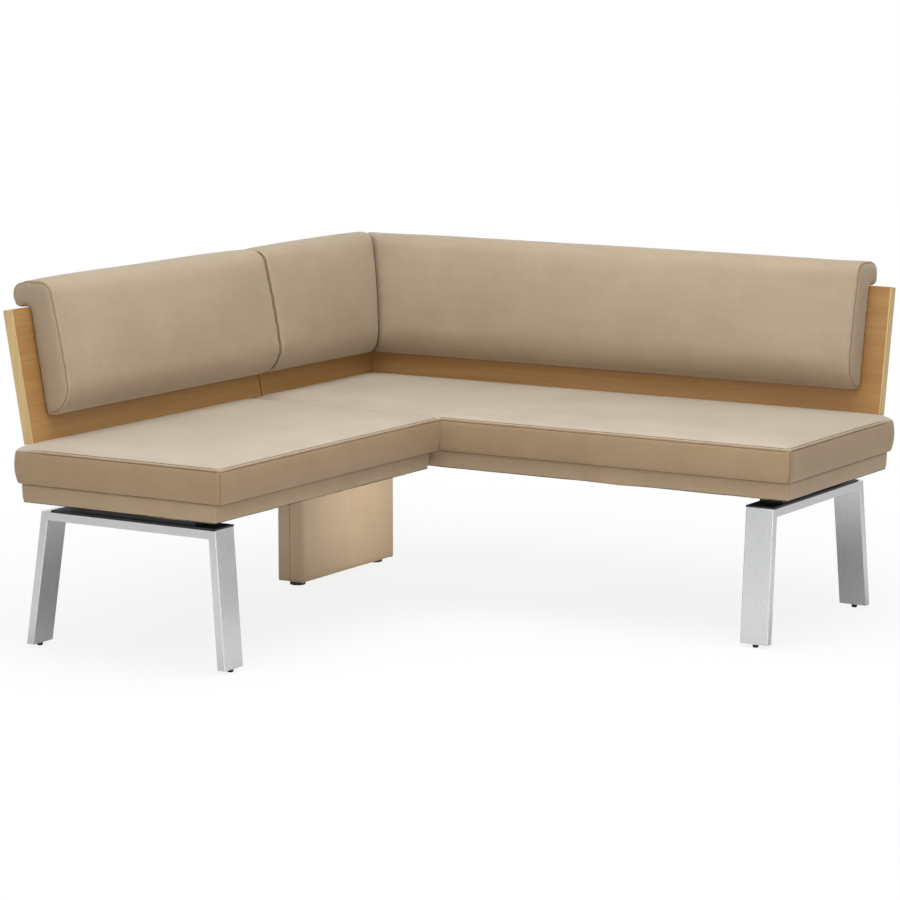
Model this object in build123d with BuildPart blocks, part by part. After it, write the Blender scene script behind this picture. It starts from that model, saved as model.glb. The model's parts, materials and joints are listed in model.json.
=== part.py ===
from build123d import *

import math
import os

# Corner bench: a long seat that runs into the corner, a short seat that butts
# against its front, reclined oak back boards with upholstered pads rolled over
# their tops, two flat-tube leg frames and one upholstered pedestal.
#
# Millimetres, +Z up, origin on the floor under the middle of the outline.
# Both wings are drawn in wing coordinates, measured from the back corner that
# they share: reach along the wing, depth from the seats' back edge towards the
# sitter, and height above the floor.

# Plan of the seats
long_seat_length = 1515
short_seat_reach = 1491
seat_depth = 577
cushion_gap = 0.6

# Heights, from the floor up
leg_glide_height = 8.4
leg_frame_height = 318
leg_plate_thickness = 4
leg_spacer_height = 24
band_height = 43
cushion_side_height = 78
cushion_crown = 19

# Seat cushions
cushion_corner_radius = 12
cushion_back_radius = 30
cushion_crease_inset = 3
cushion_seam_inset = 2
cushion_side_pull = 4
crown_insets = (28, 70, 150)
crown_shares = (0.68, 0.9, 1)
crown_turns = (10, 20, 30)
foam_inset = 45
foam_height = 53
soft_gap = 0.3

# Seat frames
front_recess = 20
side_recess = 10
band_thickness = 5
band_seam_gap = 0.3
rail_width = 40
cross_rail_width = 60
dust_cover_thickness = 1.5
webbing_thickness = 2
webbing_width = 60
webbing_pitch = 140
webbing_margin = 8

# Back boards
board_recline = 10
board_foot_depth = 32
board_foot_rise = 13
board_height = 310
board_thickness = 25
board_joint_reach = 545
long_board_inset = 25
short_board_inset = 30
lipping_thickness = 3

# Back pads
pad_foot_rise = 58
pad_depth = 77
pad_top_depth = 70
pad_foot_radius = 66
pad_shoulder_radius = 35
pad_end_swell = 2
pad_middle_swell = 9
pad_top_end_swell = 1
pad_top_middle_swell = 4
roll_radius = 27
roll_gap = 1.5
roll_overhang = 17
pad_joint_reach = 541
pad_joint_gap = 2
long_pad_inset = 58
short_pad_inset = 64
carrier_thickness = 6
carrier_foot_rise = 85
carrier_top_rise = 300
carrier_end_inset = 30
carrier_corner_reach = 110

# Steel brackets and plates behind the boards
bracket_width = 44
bracket_thickness = 5
bracket_top_rise = 180
bracket_foot_rise = 2
bracket_end_inset = 220
bracket_bolt_spacing = 20
bracket_screw_count = 3
bracket_screw_low_rise = 60
bracket_screw_top_inset = 20
long_bracket_count = 3
short_bracket_count = 2
corner_bracket_reach = 300
notch_side_gap = 3
notch_depth_gap = 2
joint_plate_thickness = 3
joint_plate_height = 40
joint_plate_half_length = 46
joint_screw_inset = 9
joint_screw_pitch = 22
corner_plate_reach = 70
corner_screw_inset = 17
corner_screw_pitch = 35
plate_rises = (100, 225)

# Fasteners
bolt_radius = 4
bolt_head_flats = 13
bolt_head_height = 4.5
bolt_bite = 30
access_hole_radius = 8
screw_radius = 2.25
screw_head_radius = 4.5
screw_head_height = 2.5
screw_bite = 17
pad_screw_bite = 5
pad_screw_counts = {"long": 4, "corner": 2, "short": 3}
pad_screw_end_inset = 50
pad_screw_top_inset = 25
pad_screw_pitch = 65
hole_clearance = 0.1

# Leg frames of flat tube, mitred at the top corners
leg_tube_width = 72
leg_tube_thickness = 21
leg_tube_wall = 2
leg_tube_radius = 2.5
leg_frame_length = 491
leg_front_splay = 22
leg_rear_splay = 51
right_frame_inset = 64.5
left_frame_inset = 69
right_frame_rear_depth = 33
left_frame_rear_depth = 22
leg_plate_rear_inset = 28
spacer_width = 60
spacer_rear_inset = 120
spacer_front_inset = 60
leg_bolt_end_inset = 40
leg_bolt_spacing = 36

# Plugs and levelling glides in the leg ends
plug_height = 30
plug_gap = 0.2
leg_glide_radius = 7
leg_stem_radius = 4
leg_stem_length = 20
stem_clearance = 0.2
glide_chamfer = 1.5

# Upholstered pedestal under the corner
pedestal_glide_height = 12
pedestal_reach = 46
pedestal_rear_depth = 75
pedestal_thickness = 82
pedestal_width = 433
pedestal_edge_radius = 12
pedestal_cover_thickness = 5
pedestal_panel_thickness = 12
pedestal_post_width = 40
pedestal_rail_height = 40
pedestal_glide_inset = 36.5
pedestal_glide_radius = 20
pedestal_stem_radius = 5
pedestal_stem_length = 30
pedestal_stud_spacing = 190

# Plates that join the short seat frame to the long one
connector_thickness = 4
connector_width = 40
connector_overlap = 38
connector_bolt_inset = 20
connector_depths = (180, 430)

# How far cuts and trimmed pieces run past the faces that end them
overcut = 1
mitre_overrun = 137

# Levels worked out from the heights above
leg_top = leg_glide_height + leg_frame_height
plate_top = leg_top + leg_plate_thickness
seat_bottom = plate_top + leg_spacer_height
rail_bottom = seat_bottom + dust_cover_thickness
crease_height = seat_bottom + band_height
rail_top = crease_height - webbing_thickness
seam_height = crease_height + cushion_side_height
crown_height = seam_height + cushion_crown
board_foot_height = seam_height + board_foot_rise

# Limits of each seat along its wing, and of the frame inside its band
seat_start = {"long": 0, "short": seat_depth + cushion_gap}
seat_end = {"long": long_seat_length, "short": short_seat_reach}
frame_inset = side_recess + band_thickness
frame_start = {wing: seat_start[wing] + frame_inset for wing in seat_start}
frame_end = {wing: seat_end[wing] - frame_inset for wing in seat_end}
frame_back = frame_inset
frame_front = seat_depth - front_recess - band_thickness

# Limits of the boards and pads along their wings
long_board_end = long_seat_length - long_board_inset
short_board_end = short_seat_reach - short_board_inset
long_pad_end = long_board_end - long_pad_inset
short_pad_end = short_board_end - short_pad_inset
short_pad_start = pad_joint_reach + pad_joint_gap / 2
corner_pad_end = pad_joint_reach - pad_joint_gap / 2

# The roll over a board's top: its centre is measured from the board's foot
lean = math.radians(board_recline)
roll_offset = roll_radius - board_thickness - roll_overhang
roll_rise = board_height + roll_gap + roll_radius
pad_top_rise = roll_rise + roll_radius
roll_depth = board_foot_depth + roll_offset * math.cos(lean) - roll_rise * math.sin(lean)
roll_reach = roll_radius - roll_depth

# The shared back corner, placed so that the outline is centred on the origin
corner_x = (roll_reach - long_seat_length) / 2
corner_y = (short_seat_reach - roll_reach) / 2
corner_run = roll_reach + mitre_overrun

os.makedirs("parts", exist_ok=True)


def write(piece, name):
    """Label a finished piece and write it to its own file."""
    piece.part.label = name
    export_step(piece.part, f"parts/{name}.step")


def wing_point(wing, reach, depth, height=0):
    """A point given in wing coordinates."""
    if wing == "long":
        return (corner_x + reach, corner_y - depth, height)
    return (corner_x + depth, corner_y - reach, height)


def wing_direction(wing, reach, depth, height=0):
    """A direction given in wing coordinates."""
    return (Vector(*wing_point(wing, reach, depth, height)) - Vector(*wing_point(wing, 0, 0))).normalized()


def wing_plane(wing, reach):
    """The cross-section of a wing: its X is depth and its Y is height."""
    across = wing_direction(wing, 0, 1)
    return Plane(origin=wing_point(wing, reach, 0), x_dir=across, z_dir=across.cross(Vector(0, 0, 1)))


def wing_run(wing, length):
    """How far to extrude from a wing plane so as to move away from the corner."""
    return -length if wing == "long" else length


def wing_block(wing, low, high, mode=Mode.ADD):
    """A block between two corners given in wing coordinates."""
    first = Vector(*wing_point(wing, *low))
    last = Vector(*wing_point(wing, *high))
    size = last - first
    with Locations((first + last) / 2):
        Box(abs(size.X), abs(size.Y), abs(size.Z), mode=mode)


def rod(start, direction, radius, length, mode=Mode.ADD):
    """A round bar or hole that starts at a point and runs along a direction."""
    with Locations(Plane(origin=start, z_dir=direction)):
        Cylinder(radius, length, align=(Align.CENTER, Align.CENTER, Align.MIN), mode=mode)


def drill(axes, length, radius=bolt_radius):
    """Clearance holes along a list of fastener axes."""
    for start, direction in axes:
        rod(start, direction, radius + hole_clearance, length, mode=Mode.SUBTRACT)


def hex_bolt(start, direction, length):
    """A bolt whose head sits behind the start point."""
    rod(start, direction, bolt_radius, length)
    with BuildSketch(Plane(origin=start, z_dir=-Vector(*direction))) as head:
        RegularPolygon(bolt_head_flats / 2, 6, major_radius=False)
    extrude(head.sketch, amount=bolt_head_height)


def wood_screw(start, direction, length):
    """A pan-head screw whose head sits behind the start point."""
    rod(start, direction, screw_radius, length)
    rod(start, -Vector(*direction), screw_head_radius, screw_head_height)


def spread(first, last, count):
    """Evenly spaced places from first to last."""
    return [first + (last - first) * step / (count - 1) for step in range(count)]


# Fastener axes, each a start point and a direction

bracket_reaches = {
    "long": spread(bracket_end_inset, long_board_end - bracket_end_inset, long_bracket_count),
    "corner": [corner_bracket_reach],
    "short": spread(board_joint_reach + bracket_end_inset, short_board_end - bracket_end_inset,
                    short_bracket_count),
}
board_wing = {"long": "long", "corner": "short", "short": "short"}
board_normal = {wing: wing_direction(wing, 0, math.cos(lean), math.sin(lean)) for wing in seat_start}


def board_point(offset, rise):
    """Depth and height of a point given in front of a board's face and up from its foot."""
    depth = board_foot_depth + offset * math.cos(lean) - rise * math.sin(lean)
    return (depth, board_foot_height + offset * math.sin(lean) + rise * math.cos(lean))


def board_axes(board, reaches, rises, offset):
    """Axes square to a board, through its back, at every given reach and rise."""
    wing = board_wing[board]
    starts = [wing_point(wing, reach, *board_point(offset, rise)) for reach in reaches for rise in rises]
    return [(start, board_normal[wing]) for start in starts]


def bracket_bolt_axes(board):
    """Two level bolts through the foot of each bracket of a board."""
    wing = board_wing[board]
    outer = side_recess - bracket_thickness
    middle = (rail_bottom + rail_top) / 2
    heights = (middle - bracket_bolt_spacing / 2, middle + bracket_bolt_spacing / 2)
    inward = wing_direction(wing, 0, 1)
    return [(wing_point(wing, reach, outer, height), inward)
            for reach in bracket_reaches[board] for height in heights]


bracket_screw_rises = spread(bracket_screw_low_rise, bracket_top_rise - bracket_screw_top_inset,
                             bracket_screw_count)
bracket_back = -board_thickness - bracket_thickness
plate_back = -board_thickness - joint_plate_thickness
plate_middles = [rise + joint_plate_height / 2 for rise in plate_rises]
joint_screw_end = joint_plate_half_length - joint_screw_inset
joint_screw_steps = (joint_screw_end - joint_screw_pitch, joint_screw_end)
joint_screw_reaches = {
    "corner": [board_joint_reach - step for step in joint_screw_steps],
    "short": [board_joint_reach + step for step in joint_screw_steps],
}
corner_screw_end = corner_plate_reach - corner_screw_inset
corner_screw_reaches = [corner_screw_end - corner_screw_pitch, corner_screw_end]

bracket_screw_axes = {
    board: board_axes(board, bracket_reaches[board], bracket_screw_rises, bracket_back)
    for board in board_wing
}
plate_screw_axes = {
    "long": board_axes("long", corner_screw_reaches, plate_middles, plate_back),
    "corner": board_axes("corner", corner_screw_reaches + joint_screw_reaches["corner"], plate_middles,
                         plate_back),
    "short": board_axes("short", joint_screw_reaches["short"], plate_middles, plate_back),
}
carrier_limits = {
    "long": (carrier_corner_reach, long_pad_end - carrier_end_inset),
    "corner": (carrier_corner_reach, corner_pad_end - carrier_end_inset),
    "short": (short_pad_start + carrier_end_inset, short_pad_end - carrier_end_inset),
}
pad_screw_top = carrier_top_rise - pad_screw_top_inset
pad_screw_rises = (pad_screw_top - pad_screw_pitch, pad_screw_top)
pad_screw_axes = {
    board: board_axes(board, spread(limits[0] + pad_screw_end_inset, limits[1] - pad_screw_end_inset,
                                    pad_screw_counts[board]), pad_screw_rises, -board_thickness)
    for board, limits in carrier_limits.items()
}
bracket_bolts = {"long": bracket_bolt_axes("long") + bracket_bolt_axes("corner"),
                 "short": bracket_bolt_axes("short")}

frame_middle = {
    "long": long_seat_length - right_frame_inset - leg_tube_width / 2,
    "short": short_seat_reach - left_frame_inset - leg_tube_width / 2,
}
frame_rear = {"long": right_frame_rear_depth, "short": left_frame_rear_depth}
frame_side = {"long": "right", "short": "left"}
upward = Vector(0, 0, 1)


def leg_bolt_axes(wing):
    """Four bolts from inside a crossbar, up through plate and spacer into the seat."""
    head_height = leg_top - leg_tube_wall
    first = frame_rear[wing] + spacer_rear_inset + leg_bolt_end_inset
    last = frame_rear[wing] + leg_frame_length - spacer_front_inset - leg_bolt_end_inset
    sides = (-leg_bolt_spacing / 2, leg_bolt_spacing / 2)
    return [(wing_point(wing, frame_middle[wing] + side, depth, head_height), upward)
            for side in sides for depth in (first, last)]


leg_bolts = {wing: leg_bolt_axes(wing) for wing in seat_start}
leg_bolt_length = leg_tube_wall + leg_plate_thickness + leg_spacer_height + dust_cover_thickness + bolt_bite

connector_long_reach = frame_front - connector_bolt_inset
connector_short_reach = frame_start["short"] + connector_bolt_inset
connector_bolts = [(wing_point("short", reach, depth, seat_bottom - connector_thickness), upward)
                   for depth in connector_depths for reach in (connector_long_reach, connector_short_reach)]
connector_bolt_length = connector_thickness + dust_cover_thickness + bolt_bite

pedestal_middle = pedestal_reach + pedestal_thickness / 2
pedestal_front_depth = pedestal_rear_depth + pedestal_width
pedestal_centre_depth = (pedestal_rear_depth + pedestal_front_depth) / 2
stud_step = pedestal_stud_spacing / 2
stud_depths = (pedestal_centre_depth - stud_step, pedestal_centre_depth + stud_step)
pedestal_studs = [(wing_point("long", pedestal_middle, depth, seat_bottom - bolt_bite), upward)
                  for depth in stud_depths]
pedestal_stud_length = 2 * bolt_bite + dust_cover_thickness

cross_rail_reaches = {
    "long": (pedestal_middle, (pedestal_middle + frame_middle["long"]) / 2, frame_middle["long"]),
    "short": ((frame_start["short"] + frame_middle["short"]) / 2, frame_middle["short"]),
}
under_bolts = {"long": leg_bolts["long"] + connector_bolts + pedestal_studs,
               "short": leg_bolts["short"] + connector_bolts}
through_length = leg_bolt_length + pedestal_stud_length


# Slabs along the boards, and how far each board reaches

def board_profile(wing, reach, offsets, rises):
    """A flat slab lying along a board, in the cross-section at one reach."""
    outline = [(offsets[0], rises[0]), (offsets[1], rises[0]), (offsets[1], rises[1]), (offsets[0], rises[1])]
    with BuildSketch(wing_plane(wing, reach)) as profile:
        with BuildLine():
            Polyline(*[board_point(*point) for point in outline], close=True)
        make_face()
    return profile.sketch


def board_slab(wing, reaches, offsets, rises, mode=Mode.ADD):
    """A slab along a board from one reach to another."""
    run = wing_run(wing, reaches[1] - reaches[0])
    extrude(board_profile(wing, reaches[0], offsets, rises), amount=run, mode=mode)


board_limits = {
    "long": (-corner_run, long_board_end - lipping_thickness),
    "corner": (-corner_run, board_joint_reach),
    "short": (board_joint_reach, short_board_end - lipping_thickness),
}
board_offsets = (-board_thickness, 0)
board_rises = (0, board_height)


# Seats

# Corner radii of each cushion: back start, back end, front end, front start
cushion_radii = {
    "long": (cushion_back_radius, cushion_back_radius, cushion_corner_radius, cushion_corner_radius),
    "short": (cushion_corner_radius, cushion_back_radius, cushion_corner_radius, cushion_corner_radius),
}


def cushion_section(wing, height, inset, extra_turn=0):
    """A level slice of a cushion: rounded corners, with its sides drawn in between them."""
    radii = [radius + extra_turn for radius in cushion_radii[wing]]
    low, high = seat_start[wing] + inset, seat_end[wing] - inset
    back, front = inset, seat_depth - inset
    corners = [Vector(low, back), Vector(high, back), Vector(high, front), Vector(low, front)]
    centre = Vector((low + high) / 2, (back + front) / 2)

    def plan(point):
        return wing_point(wing, point.X, point.Y)[:2]

    with BuildSketch(Plane.XY.offset(height)) as section:
        with BuildLine():
            for index, here in enumerate(corners):
                following = (index + 1) % len(corners)
                before, after = corners[index - 1], corners[following]
                back_way, on_way = (before - here).normalized(), (after - here).normalized()
                turn_start = here + back_way * radii[index]
                turn_end = here + on_way * radii[index]
                turn_middle = here + (back_way + on_way) * radii[index] * (1 - math.sqrt(0.5))
                ThreePointArc(plan(turn_start), plan(turn_middle), plan(turn_end))
                side_end = after - on_way * radii[following]
                side_middle = (turn_end + side_end) / 2
                side_middle += (centre - side_middle).normalized() * cushion_side_pull
                ThreePointArc(plan(turn_end), plan(side_middle), plan(side_end))
        make_face()
    return section.sketch


def notch(board):
    """Room in a cushion's back edge for the brackets of one board."""
    half = bracket_width / 2 + notch_side_gap
    for reach in bracket_reaches[board]:
        wing_block(board_wing[board], (reach - half, -side_recess, crease_height - overcut),
                   (reach + half, side_recess + notch_depth_gap, crown_height), mode=Mode.SUBTRACT)


seat_boards = {"long": ("long", "corner", "short"), "short": ("corner", "short")}


def board_bed(board):
    """Room in a cushion's top for the foot of one board."""
    first, last = board_limits[board]
    board_slab(board_wing[board], (first, last + lipping_thickness + soft_gap),
               (-board_thickness - soft_gap, soft_gap), (-soft_gap, board_height), mode=Mode.SUBTRACT)


def build_seat(wing):
    """The upholstered seat of one wing, from the cushion down to the dust cover."""
    start, end = seat_start[wing], seat_end[wing]
    belly_height = (crease_height + seam_height) / 2
    foam_low = (start + foam_inset, foam_inset, crease_height)
    foam_high = (end - foam_inset, seat_depth - foam_inset, crease_height + foam_height)

    with BuildPart() as cushion:
        loft([cushion_section(wing, crease_height, cushion_crease_inset),
              cushion_section(wing, belly_height, 0),
              cushion_section(wing, seam_height, cushion_seam_inset)])
        crown_steps = [cushion_section(wing, seam_height + cushion_crown * share, inset, turn)
                       for share, inset, turn in zip(crown_shares, crown_insets, crown_turns)]
        loft([cushion_section(wing, seam_height, cushion_seam_inset), *crown_steps])
        wing_block(wing, (foam_low[0] - soft_gap, foam_low[1] - soft_gap, crease_height),
                   (foam_high[0] + soft_gap, foam_high[1] + soft_gap, foam_high[2] + soft_gap),
                   mode=Mode.SUBTRACT)
        for board in seat_boards[wing]:
            notch(board)
            board_bed(board)
    write(cushion, f"{wing}_seat_cushion")

    with BuildPart() as foam:
        wing_block(wing, foam_low, foam_high)
    write(foam, f"{wing}_seat_foam")

    frame_low, frame_high = frame_start[wing], frame_end[wing]
    inner_back, inner_front = frame_back + rail_width, frame_front - rail_width

    strap_room = frame_high - frame_low - 2 * webbing_width
    strap_count = int(strap_room / webbing_pitch) + 1
    with BuildPart() as webbing:
        for reach in spread(frame_low + webbing_width, frame_high - webbing_width, strap_count):
            wing_block(wing, (reach - webbing_width / 2, frame_back + webbing_margin, rail_top),
                       (reach + webbing_width / 2, frame_front - webbing_margin, crease_height))
    write(webbing, f"{wing}_seat_webbing")

    with BuildPart() as front_rail:
        wing_block(wing, (frame_low, inner_front, rail_bottom), (frame_high, frame_front, rail_top))
        drill(under_bolts[wing], through_length)
    write(front_rail, f"{wing}_front_rail")

    with BuildPart() as back_rail:
        wing_block(wing, (frame_low, frame_back, rail_bottom), (frame_high, inner_back, rail_top))
        drill(bracket_bolts[wing], frame_inset + bolt_bite)
    write(back_rail, f"{wing}_back_rail")

    with BuildPart() as end_rails:
        for low in (frame_low, frame_high - rail_width):
            wing_block(wing, (low, inner_back, rail_bottom), (low + rail_width, inner_front, rail_top))
        drill(bracket_bolts[wing], frame_inset + bolt_bite)
        drill(under_bolts[wing], through_length)
    write(end_rails, f"{wing}_end_rails")

    with BuildPart() as cross_rails:
        for reach in cross_rail_reaches[wing]:
            wing_block(wing, (reach - cross_rail_width / 2, inner_back, rail_bottom),
                       (reach + cross_rail_width / 2, inner_front, rail_top))
        drill(under_bolts[wing], through_length)
    write(cross_rails, f"{wing}_cross_rails")

    band_low, band_high = frame_low - band_thickness, frame_high + band_thickness
    band_back, band_front = frame_back - band_thickness, frame_front + band_thickness
    with BuildPart() as band:
        wing_block(wing, (band_low, band_back, seat_bottom), (band_high, frame_back, crease_height))
        wing_block(wing, (band_low, frame_front, seat_bottom), (band_high, band_front, crease_height))
        for low in (band_low, frame_high):
            wing_block(wing, (low, frame_back + band_seam_gap, seat_bottom),
                       (low + band_thickness, frame_front - band_seam_gap, crease_height))
        drill(bracket_bolts[wing], frame_inset + bolt_bite)
    write(band, f"{wing}_seat_band")

    with BuildPart() as dust_cover:
        wing_block(wing, (frame_low, frame_back, seat_bottom), (frame_high, frame_front, rail_bottom))
        drill(under_bolts[wing], through_length)
    write(dust_cover, f"{wing}_dust_cover")


for wing in seat_start:
    build_seat(wing)


# Backs

mitre = Plane(origin=wing_point("long", 0, 0), z_dir=(1, 1, 0))
mitre_side = {"long": Keep.TOP, "corner": Keep.BOTTOM}


for board, limits in board_limits.items():
    with BuildPart() as back_board:
        board_slab(board_wing[board], limits, board_offsets, board_rises)
        if board in mitre_side:
            split(bisect_by=mitre, keep=mitre_side[board])
        drill(bracket_screw_axes[board], bracket_thickness + screw_bite, screw_radius)
        drill(plate_screw_axes[board], joint_plate_thickness + screw_bite, screw_radius)
        drill(pad_screw_axes[board], board_thickness + overcut, screw_radius)
    write(back_board, f"{board}_back_board")

for board in ("long", "short"):
    lipping_start = board_limits[board][1]
    with BuildPart() as lipping:
        board_slab(board, (lipping_start, lipping_start + lipping_thickness), board_offsets, board_rises)
    write(lipping, f"{board}_board_lipping")


def pad_section(wing, reach, front_swell, top_swell):
    """The rolled-over outline of a pad, with its face and top swollen by the given amounts."""
    foot_start = pad_depth - pad_foot_radius
    foot_top = pad_foot_rise + pad_foot_radius
    shoulder = pad_top_rise - pad_shoulder_radius
    top_front = pad_top_depth - pad_shoulder_radius
    bend = math.sqrt(0.5)
    foot_middle = (foot_start + pad_foot_radius * bend, foot_top - pad_foot_radius * bend)
    front_middle = ((pad_depth + pad_top_depth) / 2 + front_swell, (foot_top + shoulder) / 2)
    shoulder_middle = (top_front + pad_shoulder_radius * bend, shoulder + pad_shoulder_radius * bend)
    top_middle = ((top_front + roll_offset) / 2, pad_top_rise + top_swell)
    roll_back = roll_offset - roll_radius
    upper_roll = (roll_offset - roll_radius * bend, roll_rise + roll_radius * bend)
    lower_roll = (roll_offset - roll_radius * bend, roll_rise - roll_radius * bend)
    roll_foot = roll_rise - roll_radius

    def arc(*points):
        ThreePointArc(*[board_point(*point) for point in points])

    def line(*points):
        Line(*[board_point(*point) for point in points])

    with BuildSketch(wing_plane(wing, reach)) as section:
        with BuildLine():
            line((soft_gap, pad_foot_rise), (foot_start, pad_foot_rise))
            arc((foot_start, pad_foot_rise), foot_middle, (pad_depth, foot_top))
            arc((pad_depth, foot_top), front_middle, (pad_top_depth, shoulder))
            arc((pad_top_depth, shoulder), shoulder_middle, (top_front, pad_top_rise))
            arc((top_front, pad_top_rise), top_middle, (roll_offset, pad_top_rise))
            arc((roll_offset, pad_top_rise), upper_roll, (roll_back, roll_rise))
            arc((roll_back, roll_rise), lower_roll, (roll_offset, roll_foot))
            line((roll_offset, roll_foot), (soft_gap, roll_foot))
            line((soft_gap, roll_foot), (soft_gap, pad_foot_rise))
        make_face()
    return section.sketch


pad_limits = {
    "long": (-corner_run, long_pad_end),
    "corner": (-corner_run, corner_pad_end),
    "short": (short_pad_start, short_pad_end),
}
pad_mitre = {"long": mitre.offset(soft_gap), "corner": mitre.offset(-soft_gap)}
carrier_offsets = (0, carrier_thickness)
carrier_rises = (carrier_foot_rise, carrier_top_rise)
for board, (first, last) in pad_limits.items():
    wing = board_wing[board]
    visible_start = max(first, 0)
    with BuildPart() as pad:
        loft([pad_section(wing, first, pad_end_swell, pad_top_end_swell),
              pad_section(wing, (visible_start + last) / 2, pad_middle_swell, pad_top_middle_swell),
              pad_section(wing, last, pad_end_swell, pad_top_end_swell)])
        if board in pad_mitre:
            split(bisect_by=pad_mitre[board], keep=mitre_side[board])
        carrier_start, carrier_end = carrier_limits[board]
        board_slab(wing, (carrier_start - soft_gap, carrier_end + soft_gap),
                   (-overcut, carrier_thickness + soft_gap),
                   (carrier_foot_rise - soft_gap, carrier_top_rise + soft_gap), mode=Mode.SUBTRACT)
    write(pad, f"{board}_back_pad")

    with BuildPart() as carrier:
        board_slab(wing, carrier_limits[board], carrier_offsets, carrier_rises)
        drill(pad_screw_axes[board], board_thickness + pad_screw_bite, screw_radius)
    write(carrier, f"{board}_pad_carrier")


# Brackets: flat bar up the back of a board, bent upright at the seat's back edge

def bracket_profile(wing, reach):
    """The bent side view of a bracket."""
    inner, outer = side_recess, side_recess - bracket_thickness
    inner_bend = (board_foot_depth - board_thickness * math.cos(lean) - inner) / math.sin(lean)
    outer_bend = (board_foot_depth + bracket_back * math.cos(lean) - outer) / math.sin(lean)
    foot = seat_bottom + bracket_foot_rise
    outline = [board_point(-board_thickness, bracket_top_rise), board_point(bracket_back, bracket_top_rise),
               board_point(bracket_back, outer_bend), (outer, foot), (inner, foot),
               board_point(-board_thickness, inner_bend)]
    with BuildSketch(wing_plane(wing, reach)) as profile:
        with BuildLine():
            Polyline(*outline, close=True)
        make_face()
    return profile.sketch


bracket_names = {
    "long": "long_back_brackets",
    "corner": "corner_back_bracket",
    "short": "short_back_brackets",
}
for board, name in bracket_names.items():
    wing = board_wing[board]
    with BuildPart() as brackets:
        for reach in bracket_reaches[board]:
            extrude(bracket_profile(wing, reach), amount=bracket_width / 2, both=True)
        drill(bracket_screw_axes[board], bracket_thickness, screw_radius)
        drill(bracket_bolt_axes(board), bracket_thickness)
    write(brackets, name)

with BuildPart() as bracket_bolt_set:
    for start, direction in bracket_bolts["long"] + bracket_bolts["short"]:
        hex_bolt(start, direction, bracket_thickness + band_thickness + bolt_bite)
write(bracket_bolt_set, "bracket_bolts")


# Plates that hold the boards to each other

plate_offsets = (plate_back, -board_thickness)
plate_bands = [(rise, rise + joint_plate_height) for rise in plate_rises]


def corner_plate_arm(board, rises):
    """One arm of a corner plate, cut at the mitre."""
    with BuildPart() as arm:
        board_slab(board_wing[board], (-corner_run, corner_plate_reach), plate_offsets, rises)
        split(bisect_by=mitre, keep=mitre_side[board])
    return arm.part


with BuildPart() as corner_plates:
    for rises in plate_bands:
        add(corner_plate_arm("long", rises))
        add(corner_plate_arm("corner", rises))
    drill(plate_screw_axes["long"] + plate_screw_axes["corner"], joint_plate_thickness, screw_radius)
write(corner_plates, "corner_angle_plates")

joint_plate_start = board_joint_reach - joint_plate_half_length
joint_plate_end = board_joint_reach + joint_plate_half_length
with BuildPart() as joint_plates:
    for rises in plate_bands:
        board_slab("short", (joint_plate_start, joint_plate_end), plate_offsets, rises)
    drill(plate_screw_axes["corner"] + plate_screw_axes["short"], joint_plate_thickness, screw_radius)
write(joint_plates, "board_joint_plates")

with BuildPart() as board_screws:
    for board in board_wing:
        for start, direction in bracket_screw_axes[board]:
            wood_screw(start, direction, bracket_thickness + screw_bite)
        for start, direction in plate_screw_axes[board]:
            wood_screw(start, direction, joint_plate_thickness + screw_bite)
write(board_screws, "board_screws")

with BuildPart() as pad_screws:
    for board in board_wing:
        for start, direction in pad_screw_axes[board]:
            wood_screw(start, direction, board_thickness + pad_screw_bite)
write(pad_screws, "pad_screws")


# Leg frames

def tube_section(plane):
    """The hollow section of the flat tube."""
    bore_width, bore_thickness = leg_tube_width - 2 * leg_tube_wall, leg_tube_thickness - 2 * leg_tube_wall
    with BuildSketch(plane) as section:
        RectangleRounded(leg_tube_width, leg_tube_thickness, leg_tube_radius)
        Rectangle(bore_width, bore_thickness, mode=Mode.SUBTRACT)
    return section.sketch


def leg_line(wing, end):
    """A leg's outer face in depth and height: its top corner, its way down and its inward side."""
    rear = frame_rear[wing]
    top = {"front": rear + leg_frame_length, "rear": rear}[end]
    splay = {"front": leg_front_splay, "rear": -leg_rear_splay}[end]
    corner = Vector(top, leg_top)
    down = Vector(splay, -leg_frame_height).normalized()
    inward = Vector(down.Y, -down.X) if end == "front" else Vector(-down.Y, down.X)
    return corner, down, inward


def leg_plane(wing, end, drop):
    """The plane square to a leg, at a distance down from its top corner."""
    corner, down, inward = leg_line(wing, end)
    middle = corner + down * drop + inward * (leg_tube_thickness / 2)
    return Plane(origin=wing_point(wing, frame_middle[wing], middle.X, middle.Y),
                 x_dir=wing_direction(wing, 1, 0), z_dir=wing_direction(wing, 0, down.X, down.Y))


def leg_mitre(wing, end):
    """The mitre plane at a top corner; the crossbar is on its upper side."""
    corner, down, _ = leg_line(wing, end)
    along = Vector(-1, 0) if end == "front" else Vector(1, 0)
    normal = along - down
    return Plane(origin=wing_point(wing, frame_middle[wing], corner.X, corner.Y),
                 z_dir=wing_direction(wing, 0, normal.X, normal.Y))


def leg_foot(wing, end):
    """The middle of a leg's level foot."""
    corner, down, inward = leg_line(wing, end)
    outer = corner + down * (leg_frame_height / -down.Y)
    foot_depth = outer.X + math.copysign(leg_tube_thickness / abs(down.Y) / 2, inward.X)
    return wing_point(wing, frame_middle[wing], foot_depth, leg_glide_height)


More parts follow.
